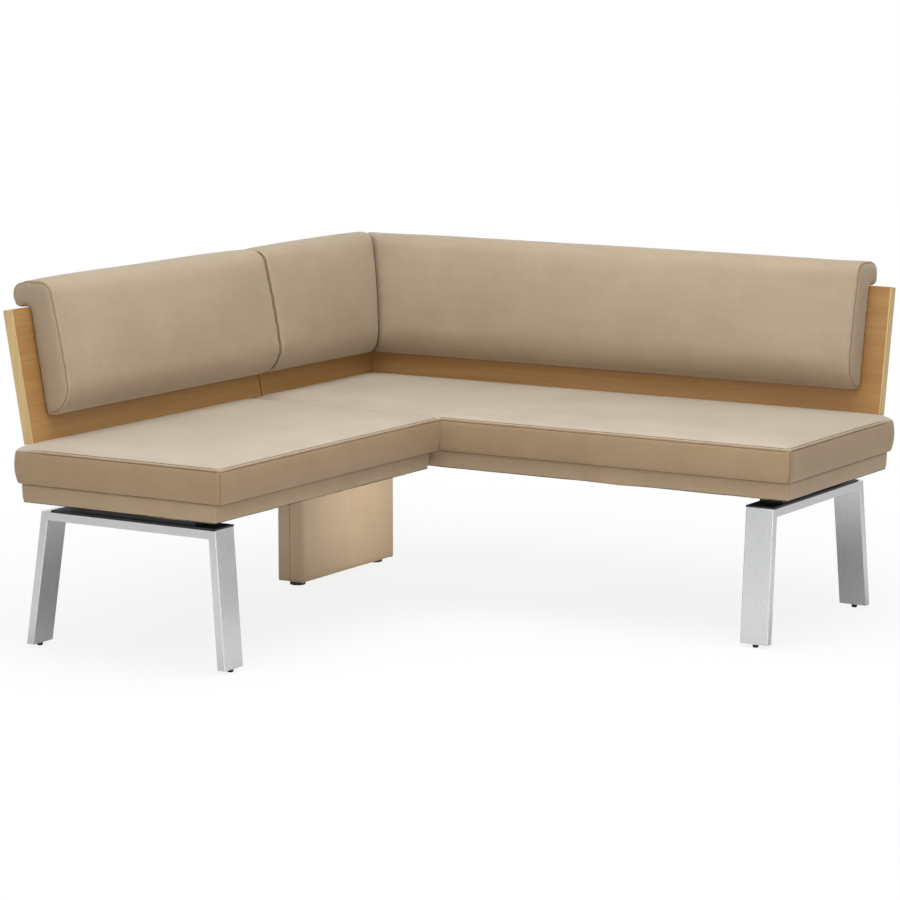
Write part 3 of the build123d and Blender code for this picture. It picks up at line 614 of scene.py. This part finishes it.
def cloth_steps(piece, pinned, pressure):
    """How far cloth physics moves each point of a piece under pressure from inside."""
    group = piece.vertex_groups.new(name="pinned")
    group.add(pinned, 1.0, "REPLACE")
    rest = vertex_places(piece.data)
    cloth = piece.modifiers.new("Cloth", "CLOTH")
    cloth.settings.quality = cloth_quality
    cloth.settings.use_pressure = True
    cloth.settings.uniform_pressure_force = pressure
    cloth.settings.vertex_group_mass = group.name
    cloth.settings.effector_weights.gravity = 0
    cloth.point_cache.frame_start = 1
    cloth.point_cache.frame_end = cloth_frames
    scene = bpy.context.scene
    for step in range(1, cloth_frames + 1):
        scene.frame_set(step)
    evaluated = piece.evaluated_get(bpy.context.evaluated_depsgraph_get())
    steps = vertex_places(evaluated.data) - rest
    piece.modifiers.remove(cloth)
    piece.vertex_groups.remove(group)
    scene.frame_set(1)
    return steps


def inflate(piece, pinned, pressure, swell):
    """Swell a piece by cloth physics from its pinned points, evenly and by the given distance at most."""
    steps = cloth_steps(piece, pinned, pressure)
    rest = vertex_places(piece.data)
    lengths = numpy.linalg.norm(steps, axis=1, keepdims=True) + least_step
    steps *= swell * numpy.tanh(lengths / swell) / lengths
    edges = numpy.empty(len(piece.data.edges) * 2, int)
    piece.data.edges.foreach_get("vertices", edges)
    first, second = edges[::2], edges[1::2]
    neighbours = numpy.bincount(edges, minlength=len(rest))[:, None]
    for _ in range(cloth_evening):
        around = numpy.zeros_like(steps)
        numpy.add.at(around, first, steps[second])
        numpy.add.at(around, second, steps[first])
        steps = (steps + around / neighbours) / 2
        steps[pinned] = 0
    piece.data.vertices.foreach_set("co", (rest + steps).ravel())
    piece.data.update()


# Seat cushions

def shape_seat(bm, low, high, back_notches, start_notches):
    """Crown, rounded corners, drawn-in sides and room for the brackets."""
    middle = (low + high) / 2
    half = (high - low) / 2
    rises = []
    for vertex in bm.verts:
        point = vertex.co
        up = (point.z - low.z) / seat_side_height
        to_end = min(point.x - low.x, high.x - point.x)
        to_side = min(point.y - low.y, high.y - point.y)
        share = (1 - math.exp(-to_end / shoulder_length)) * (1 - math.exp(-to_side / shoulder_length))
        rises.append(seat_crown * share if up > face_share else 0)
    for vertex, rise in zip(bm.verts, rises):
        point = vertex.co
        up = min(1, (point.z - low.z) / seat_side_height)
        along = (point.x - middle.x) / half.x
        across = (point.y - middle.y) / half.y
        if up < seat_belly:
            inset = seat_crease_inset * (1 - up / seat_belly) ** 2 - seat_side_swell
        else:
            inset = seat_seam_inset * ((up - seat_belly) / (1 - seat_belly)) ** 2 - seat_side_swell
        radius = back_corner_radius if across < 0 else front_corner_radius
        edge_x = low.x if along < 0 else high.x
        edge_y = low.y if across < 0 else high.y
        centre = Vector((edge_x + math.copysign(radius, middle.x - edge_x),
                         edge_y + math.copysign(radius, middle.y - edge_y)))
        outside_x = (point.x - centre.x) * (edge_x - middle.x) > 0
        outside_y = (point.y - centre.y) * (edge_y - middle.y) > 0
        if outside_x and outside_y:
            round_corner(point, centre)
        pull_x = inset + seat_side_pull * (1 - across * across)
        pull_y = inset + seat_side_pull * (1 - along * along)
        point.x -= along * pull_x
        point.y -= across * pull_y
        point.z += rise
    for vertex in bm.verts:
        point = vertex.co
        if any(abs(point.x - reach) < notch_half_width for reach in back_notches):
            point.y = max(point.y, low.y + notch_depth)
        if any(abs(point.y - depth) < notch_half_width for depth in start_notches):
            point.x = max(point.x, low.x + notch_depth)


def seat_pins(piece, wing, low, high):
    """The points that the seams, the boards and the seat frame hold still."""
    inverse = wing_matrix[wing].inverted()
    under_board = board_foot(wing).y + seat_pitch / 2
    pinned = []
    for vertex in piece.data.vertices:
        point = inverse @ vertex.co
        on_frame = point.z < low.z + touch_distance
        on_seam = abs(point.z - seam_height) < seam_hold
        at_end = min(point.x - low.x, high.x - point.x) < front_corner_radius
        at_front = high.y - point.y < front_corner_radius
        on_back = point.y < under_board
        if on_frame or on_seam or on_back or (at_end and at_front):
            pinned.append(vertex.index)
    return pinned


def press_under_boards(piece, wing, sides):
    """Fit a cushion's top to the boards' lower faces: down under them, and up where the seats meet."""
    inverse = wing_matrix[wing].inverted()
    low, high = wing_box(f"{wing}_seat_cushion", wing)
    foot = board_foot("long")
    for vertex in piece.data.vertices:
        local = inverse @ vertex.co
        if local.z < seam_height - board_press:
            continue
        for side in sides:
            board_height = foot.z - (foot.y - local[side]) * math.tan(lean) + board_press
            beside_seat = local.x < low.x + seat_pitch if wing == "short" else local.y > high.y - seat_pitch
            if local[side] < foot.y:
                vertex.co.z = min(vertex.co.z, board_height)
            if seat_pitch / 2 < local[side] < foot.y + seat_pitch and beside_seat:
                vertex.co.z = max(vertex.co.z, min(board_height, foot.z))


def make_seat(wing, back_notches, start_notches):
    """One boxed cushion, swollen between its seams."""
    node = f"{wing}_seat_cushion"
    low, high = wing_box(node, wing)
    high.z = seam_height
    bm = quad_block(low, high, seat_pitch)
    bm.normal_update()
    # Upward faces take the copy painted lighter and paler, as painted light from above; the others take the
    # copy painted darker, as painted shade.
    for face in bm.faces:
        face.material_index = 1 if face.normal.z > level_normal else 0
    shape_seat(bm, low, high, back_notches, start_notches)
    piece = finish_piece(f"{wing}_seat", bm, wing_matrix[wing], seat_side_painted_shade_fabric, seat_top_painted_light_fabric)
    inflate(piece, seat_pins(piece, wing, low, high), seat_pressure, seat_swell)
    press_under_boards(piece, wing, (0, 1) if start_notches else (1,))
    smooth_more(piece, 1)
    join_bench(piece, "cover_fabric", node)
    return piece


seats = {
    "long": make_seat("long", bracket_reaches("long_back_brackets", "long"),
                      bracket_reaches("corner_back_bracket", "short")),
    "short": make_seat("short", bracket_reaches("short_back_brackets", "short"), []),
}


# Back pads

pad_limits = {board: wing_box(f"{board}_back_pad", wing) for board, wing in board_wing.items()}


def even_out(bm, verts, times):
    """Smooth points towards their neighbours."""
    for _ in range(times):
        bmesh.ops.smooth_vert(bm, verts=verts, factor=smoothing_factor,
                              use_axis_x=True, use_axis_y=True, use_axis_z=True)


def square_hook(bm, board):
    """Fill out the lower back corner of the roll that hooks over the board."""
    wing = board_wing[board]
    foot = board_foot(board)
    up_board = wing_direction(wing, 0, -math.sin(lean), math.cos(lean))
    off_board = wing_direction(wing, 0, math.cos(lean), math.sin(lean))
    places = [board_place(vertex.co, wing, foot) for vertex in bm.verts]
    back = min(offset for offset, rise in places)
    top = max(rise for offset, rise in places)
    bottom = min(rise for offset, rise in places if offset < back / 2)
    radius = (top - bottom) / 2
    for vertex, (offset, rise) in zip(bm.verts, places):
        away = Vector((offset - back - radius, rise - bottom - radius))
        if away.x < 0 and away.y < 0:
            squarer = (away.length / max(-away.x, -away.y)) ** hook_squareness - 1
            vertex.co += (off_board * away.x + up_board * away.y) * squarer


def pad_end_distances(point, board):
    """How far a point lies from its pad's far end, and from its near end or the mitre."""
    local = wing_matrix[board_wing[board]].inverted() @ point
    low, high = pad_limits[board]
    return high.x - local.x, local.x - low.x if board == "short" else local.x - local.y


def fill_pad(bm, board):
    """Let the filling stand out a little from the board, except at the mitre and where the pads meet.

    The corner pad falls away towards the short pad, whose end stands proud of it.
    """
    wing = board_wing[board]
    along = wing_direction(wing, 1, 0, 0)
    foot = board_foot(board)
    bm.normal_update()
    for vertex in bm.verts:
        offset, rise = board_place(vertex.co, wing, foot)
        clear_of_board = min(1, max(0, offset / pin_depth, (rise - board_rise) / pin_depth))
        at_end, at_start = pad_end_distances(vertex.co, board)
        push = vertex.normal * pad_filling * clear_of_board
        if board != "short":
            push *= min(1, max(0, at_start / pin_depth - mitre_clearance))
        elif at_start < pin_depth:
            push -= along * push.dot(along)
        if board == "corner":
            falling = max(0, 1 - at_end / pad_gap_slope) ** 2
            push -= vertex.normal * (pad_filling + pad_gap_recess) * clear_of_board * falling
        vertex.co += push


def pad_pins(piece, board):
    """The points that lie on the board, round the pad's ends, at the mitre or against the next pad."""
    wing = board_wing[board]
    along = wing_direction(wing, 1, 0, 0)
    foot = board_foot(board)
    pinned = []
    for vertex in piece.data.vertices:
        offset, rise = board_place(vertex.co, wing, foot)
        on_board = offset < pin_depth and rise < board_rise + pin_depth
        at_end, at_start = pad_end_distances(vertex.co, board)
        on_rim = min(at_end, at_start) < pin_depth and abs(vertex.normal.dot(along)) < end_face_normal
        meets_pad = at_start < pin_depth or (board == "corner" and at_end < pin_depth)
        if on_board or on_rim or meets_pad:
            pinned.append(vertex.index)
    return pinned


def make_pad(board):
    """A pad that starts from its CAD solid and swells away from its board and its ends."""
    node = f"{board}_back_pad"
    wing = board_wing[board]
    bm = bmesh.new()
    bm.from_mesh(frame["nodes"][node].data)
    bmesh.ops.remove_doubles(bm, verts=bm.verts, dist=weld_distance)
    rough = finish_piece(f"{node}_rough", bm, Matrix.Identity(4), pad_painted_light_fabric)
    remesh = rough.modifiers.new("Remesh", "REMESH")
    remesh.mode = "VOXEL"
    remesh.voxel_size = pad_voxel
    bm = evaluated_bmesh(rough)
    bpy.data.objects.remove(rough)
    foot = board_foot(board)
    on_face = [vertex for vertex in bm.verts if board_place(vertex.co, wing, foot)[0] > pin_depth]
    even_out(bm, bm.verts, pad_smoothing)
    even_out(bm, on_face, pad_face_smoothing)
    square_hook(bm, board)
    fill_pad(bm, board)
    piece = finish_piece(f"{board}_pad", bm, Matrix.Identity(4), pad_painted_light_fabric)
    inflate(piece, pad_pins(piece, board), pad_pressure, pad_swell)
    smooth_more(piece, 1)
    join_bench(piece, "cover_fabric", node)
    return piece


pads = {board: make_pad(board) for board in board_wing}


# Bands round the seat frames

def make_band(wing):
    """The upholstered band under a cushion: drawn in at its foot and slightly rippled."""
    node = f"{wing}_seat_band"
    low, high = wing_box(node, wing)
    bm = quad_block(low, high, band_pitch)
    caps = [face for face in bm.faces if abs(face.normal.z) > level_normal]
    bmesh.ops.delete(bm, geom=caps, context="FACES")
    middle = (low + high) / 2
    half = (high - low) / 2
    for vertex in bm.verts:
        point = vertex.co
        up = (point.z - low.z) / (high.z - low.z)
        on_back = point.y < low.y + touch_distance
        tuck = max(0, 1 - (point.z - low.z) / band_tuck_height)
        inset = band_taper * (1 - up) + band_tuck * tuck * tuck
        ripple_place = Vector((point.x * band_ripple_scale, point.y * band_ripple_scale,
                               point.z * band_ripple_rise_scale))
        ripple = 0 if on_back else noise.noise(ripple_place) * band_ripple * (1 - band_ripple_fade * up)
        along = (point.x - middle.x) / half.x
        across = (point.y - middle.y) / half.y
        if abs(along) > face_share:
            point.x -= math.copysign(inset + band_ripple + ripple, along)
        if abs(across) > face_share:
            point.y -= math.copysign(inset + (0 if on_back else band_ripple) + ripple, across)
        wave = noise.noise(Vector((point.x * band_wave_scale, point.y * band_wave_scale, band_wave_slice)))
        point.z += (band_wave * wave - band_drop) * (1 - up)
    piece = finish_piece(f"{wing}_band", bm, wing_matrix[wing], band_fabric)
    add_wall(piece, band_wall)
    smooth_more(piece, 1)
    join_bench(piece, "cover_fabric", node)


for wing in seats:
    make_band(wing)


# Pedestal cover

def make_pedestal_cover():
    """A fabric sleeve with rounded edges and a seam down the middle of each narrow face."""
    low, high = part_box("pedestal_cover")
    middle = (low + high) / 2
    half = (high - low) / 2
    bm = plain_block(low, high)
    uprights = [edge for edge in bm.edges if edge_span(edge, 2) > tiny]
    bmesh.ops.bevel(bm, geom=uprights, offset=pedestal_edge, offset_type="OFFSET", affect="EDGES",
                    segments=pedestal_edge_segments, profile=pedestal_edge_profile, material=-1)
    caps = [face for face in bm.faces if abs(face.normal.z) > level_normal]
    bmesh.ops.delete(bm, geom=caps, context="FACES")
    for axis in range(3):
        long_edges = [edge for edge in bm.edges if edge_span(edge, axis) > 2 * pedestal_pitch]
        if long_edges:
            cuts = 2 * round(edge_span(long_edges[0], axis) / pedestal_pitch / 2) - 1
            bmesh.ops.subdivide_edges(bm, edges=long_edges, cuts=cuts, use_grid_fill=True)
    for vertex in bm.verts:
        point = vertex.co
        up = (point.z - low.z) / (high.z - low.z)
        outward = Vector(((point.x - middle.x) / half.x, (point.y - middle.y) / half.y, 0))
        on_wide = abs(outward.x) > pedestal_face_share
        on_narrow = abs(outward.y) > pedestal_face_share
        wave = noise.noise(point * pedestal_wave_scale)
        tuck = pedestal_tuck * max(0, 1 - (point.z - low.z) / pedestal_tuck_height) ** 2
        if on_wide:
            point.x -= math.copysign(tuck + pedestal_bulge * (0.5 - 0.5 * wave), outward.x)
        if on_narrow:
            near_seam = max(0, 1 - abs(point.x - middle.x) / pedestal_seam_width)
            inset = tuck + pedestal_seam_depth * near_seam + pedestal_narrow_wave * wave
            point.y -= math.copysign(inset, outward.y)
        point.z -= pedestal_drop * (1 - up)
    piece = finish_piece("pedestal_sleeve", bm, Matrix.Identity(4), band_fabric)
    add_wall(piece, pedestal_wall)
    smooth_more(piece, 1)
    join_bench(piece, "cover_fabric", "pedestal_cover")
    return piece


pedestal_sleeve = make_pedestal_cover()


# Seams, and dark strands of painted shadow

def section(piece, plane_point, plane_normal, keep):
    """Where a plane cuts a piece: the kept stretches, each a list of points in order."""
    bm = evaluated_bmesh(piece)
    bmesh.ops.bisect_plane(bm, geom=[*bm.verts, *bm.edges, *bm.faces], dist=cut_tolerance,
                           plane_co=plane_point, plane_no=plane_normal, clear_inner=True, clear_outer=True)
    gone = [vertex for vertex in bm.verts if not keep(vertex.co)]
    bmesh.ops.delete(bm, geom=gone, context="VERTS")
    waiting = set(bm.verts)
    runs = []
    while waiting:
        ends = [vertex for vertex in waiting if len(vertex.link_edges) == 1]
        here = min(ends or waiting, key=lambda vertex: tuple(vertex.co))
        run = []
        while here:
            waiting.discard(here)
            run.append(here.co.copy())
            beside = [edge.other_vert(here) for edge in here.link_edges]
            here = next((vertex for vertex in beside if vertex in waiting), None)
        if len(run) >= shortest_run:
            runs.append(run)
    bm.free()
    return runs


def full(point):
    """A seam of even thickness."""
    return 1


def make_seam(name, strands, material):
    """Round strands along their runs; each strand is its runs, its radius and its fullness at a point."""
    curve = bpy.data.curves.new(name, "CURVE")
    curve.dimensions = "3D"
    curve.bevel_depth = 1
    curve.bevel_resolution = 2
    curve.use_fill_caps = True
    for runs, radius, fullness in strands:
        for run in runs:
            spline = curve.splines.new("POLY")
            spline.points.add(len(run) - 1)
            for place, point in zip(spline.points, run):
                place.co = (*point, 1)
                place.radius = radius * fullness(point)
    rough = add_object(f"{name}_line", curve)
    bm = evaluated_bmesh(rough)
    bpy.data.objects.remove(rough)
    bpy.data.curves.remove(curve)
    piece = finish_piece(name, bm, Matrix.Identity(4), material)
    join_bench(piece, "cover_fabric")


def seat_seams(wing):
    """The welt round a cushion's top edge, its threads, its corner seams and a dark strand of painted shadow
    in the crease at its foot.
    """
    seat = seats[wing]
    inverse = wing_matrix[wing].inverted()
    low, high = wing_box(f"{wing}_seat_cushion", wing)
    welt_start = low.y + welt_back_end
    beside_seat = 2 * front_corner_radius

    def seen(point):
        local = inverse @ point
        if wing == "long":
            beside_other = local.x < seat_depth - welt_radius
        else:
            beside_other = local.x < low.x + front_corner_radius and local.y < high.y - beside_seat
        return local.y > welt_start and not beside_other

    def fading(point):
        return min(1, welt_least + ((inverse @ point).y - welt_start) / welt_fade)

    def level(height):
        return section(seat, Vector((0, 0, height)), Vector((0, 0, 1)), seen)

    lines = [(level(seam_height + thread_above), thread_radius, fading),
             (level(seam_height - thread_below), thread_radius, fading)]
    for reach, inward in ((low.x, 1), (high.x, -1)):
        normal = wing_direction(wing, 1, inward, 0).normalized()
        corner_point = wing_matrix[wing] @ Vector((reach, high.y, 0))

        def on_corner(point, corner_point=corner_point):
            near = (point - corner_point).xy.length < 2 * front_corner_radius
            return near and crease_height + crease_shadow_radius < point.z < seam_height

        lines.append((section(seat, corner_point, normal, on_corner), thread_radius, full))
    # A dark strand along the crease at the cushion's foot: painted shadow under its lower edge.
    lines.append((level(crease_height + crease_shadow_radius), crease_shadow_radius, fading))
    ridges = [(level(seam_height + welt_rise), welt_radius, fading)]
    make_seam(f"{wing}_seat_welt", ridges, piping_fabric)
    make_seam(f"{wing}_seat_threads_and_crease_shadow", lines, seam_thread_and_painted_shadow)


def pad_seams(board, ends, piped):
    """The piping and thread round a pad's end faces, or, in the gap to the next pad, a dark strand of painted
    shadow alone.
    """
    wing = board_wing[board]
    foot = board_foot(board)
    along = wing_direction(wing, 1, 0, 0)
    limits = pad_limits[board]
    ridges = []
    lines = []

    def off_board(point):
        offset, rise = board_place(point, wing, foot)
        return offset > piping_off_board or rise > piping_over_board

    def ring(reach):
        return section(pads[board], wing_matrix[wing] @ Vector((reach, 0, 0)), along, off_board)

    for end in ends:
        inward = 1 if end == 0 else -1
        if piped:
            reach = limits[end].x + inward * pad_piping_inset
            ridges.append((ring(reach), pad_piping_radius, full))
            lines.append((ring(reach - inward * pad_thread_spacing), thread_radius, full))
        else:
            # A dark strand down in the gap between pads: painted shadow.
            lines.append((ring(limits[end].x + inward * gap_shadow_inset), gap_shadow_radius, full))
    if piped:
        make_seam(f"{board}_pad_piping", ridges, piping_fabric)
    make_seam(f"{board}_pad_threads_and_gap_shadow", lines, seam_thread_and_painted_shadow)


def pedestal_seams():
    """The seam down the middle of each narrow face of the pedestal."""
    low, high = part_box("pedestal_cover")
    middle = (low + high) / 2

    def on_face(point):
        return abs(point.y - middle.y) > (high.y - low.y) / 2 - pedestal_wall + thread_radius

    line = section(pedestal_sleeve, middle + Vector((tiny, 0, 0)), Vector((1, 0, 0)), on_face)
    make_seam("pedestal_threads", [(line, thread_radius, full)], seam_thread_and_painted_shadow)


pedestal_seams()
for wing in seats:
    seat_seams(wing)
for board, ends, piped in (("long", (1,), True), ("corner", (1,), False), ("short", (0, 1), True)):
    pad_seams(board, ends, piped)


# Painted shadow in the joint between the corner board and the short board

def make_joint_line():
    """A dark strip of painted shadow in the open joint where the two boards of the short wing meet."""
    foot = board_foot("short")
    reach = wing_box("short_back_board", "short")[0].x
    bm = plain_block(Vector((-joint_width / 2, -joint_thickness / 2, 0)),
                     Vector((joint_width / 2, joint_thickness / 2, board_rise)))
    bmesh.ops.rotate(bm, verts=bm.verts, cent=(0, 0, 0), matrix=Matrix.Rotation(lean, 3, "X"))
    bmesh.ops.translate(bm, verts=bm.verts, vec=(reach, foot.y, foot.z))
    piece = finish_piece("board_joint_shadow", bm, wing_matrix["short"], joint_shadow)
    join_bench(piece, "oak_veneer")


make_joint_line()


# Floor, light and camera

def make_floor():
    """A plain pale floor that keeps the bench's shadow and fades to white for the camera."""
    bm = bmesh.new()
    bmesh.ops.create_grid(bm, x_segments=1, y_segments=1, size=floor_size)
    mesh = bpy.data.meshes.new("floor")
    bm.to_mesh(mesh)
    bm.free()
    floor = add_object("floor", mesh)
    material = bpy.data.materials.new("pale_floor")
    material.use_nodes = True
    tree = material.node_tree
    tree.nodes.clear()
    paper = add_node(tree, "ShaderNodeBsdfDiffuse", {"Color": (floor_grey, floor_grey, floor_grey, 1)})
    white = add_node(tree, "ShaderNodeEmission", {"Color": (1, 1, 1, 1), "Strength": 1.0})
    place = add_node(tree, "ShaderNodeTexCoord").outputs["Object"]
    away = add_node(tree, "ShaderNodeVectorMath", {0: place}, operation="LENGTH").outputs["Value"]
    fading = {"Value": away, "From Min": shadow_fade_start, "From Max": shadow_fade_end,
              "To Min": shadow_whiteness, "To Max": 1.0}
    fade = add_node(tree, "ShaderNodeMapRange", fading, interpolation_type="SMOOTHSTEP")
    seen = add_node(tree, "ShaderNodeLightPath").outputs["Is Camera Ray"]
    share = math_value(tree, "MULTIPLY", seen, fade.outputs["Result"])
    mixed = add_node(tree, "ShaderNodeMixShader", {0: share, 1: paper.outputs[0], 2: white.outputs[0]})
    add_node(tree, "ShaderNodeOutputMaterial", {"Surface": mixed.outputs[0]})
    mesh.materials.append(material)


def make_world():
    """Even soft light, white to the camera and in reflections."""
    world = bpy.data.worlds.new("studio")
    world.use_nodes = True
    tree = world.node_tree
    tree.nodes.clear()
    path = add_node(tree, "ShaderNodeLightPath")
    seen = math_value(tree, "MAXIMUM", path.outputs["Is Camera Ray"], path.outputs["Is Glossy Ray"])
    seen = math_value(tree, "MAXIMUM", seen, path.outputs["Is Transmission Ray"])
    soft = add_node(tree, "ShaderNodeBackground", {"Color": (1, 1, 1, 1), "Strength": soft_light_strength})
    white = add_node(tree, "ShaderNodeBackground", {"Color": (1, 1, 1, 1), "Strength": 1.0})
    mixed = add_node(tree, "ShaderNodeMixShader", {0: seen, 1: soft.outputs[0], 2: white.outputs[0]})
    add_node(tree, "ShaderNodeOutputWorld", {"Surface": mixed.outputs[0]})
    bpy.context.scene.world = world


def make_lamp(name, place, target, size, power, spread=180):
    """A square soft box that points at a target, with its spread in degrees."""
    lamp = bpy.data.lights.new(name, "AREA")
    lamp.shape = "SQUARE"
    lamp.size = size
    lamp.energy = power
    lamp.spread = math.radians(spread)
    holder = add_object(name, lamp)
    holder.location = place
    holder.rotation_euler = (Vector(target) - Vector(place)).to_track_quat("-Z", "Y").to_euler()
    holder.visible_camera = False


def make_camera():
    """The photograph's camera."""
    lens = bpy.data.cameras.new("photo_camera")
    lens.lens = camera_lens
    lens.sensor_width = camera_sensor
    lens.sensor_fit = "HORIZONTAL"
    lens.clip_end = 100
    camera = add_object("photo_camera", lens)
    camera.location = camera_place
    camera.rotation_euler = (math.radians(90 - camera_elevation), 0, math.radians(camera_azimuth))
    bpy.context.scene.camera = camera


make_floor()
make_world()
make_lamp("top_soft_box", place=(0.5, -0.6, 3.2), target=(0.1, 0.1, 0.4), size=2.8, power=80)
make_lamp("front_soft_box", place=(2.4, -4.6, 2.4), target=(0.0, 0.2, 0.5), size=2.4, power=18)
make_lamp("low_front_soft_box", place=(1.6, -4.8, 0.6), target=(-0.2, 0.2, 0.3), size=1.0, power=24)
make_lamp("pedestal_fill", place=(0.3, 0.62, 0.19), target=(-0.6, 0.45, 0.22),
          size=0.24, power=0.8, spread=50)
make_lamp("pedestal_front_fill", place=(-0.5, -0.55, 0.12), target=(-0.62, 0.2, 0.2),
          size=0.2, power=0.15, spread=50)
make_camera()
bpy.context.scene.view_settings.view_transform = "Standard"
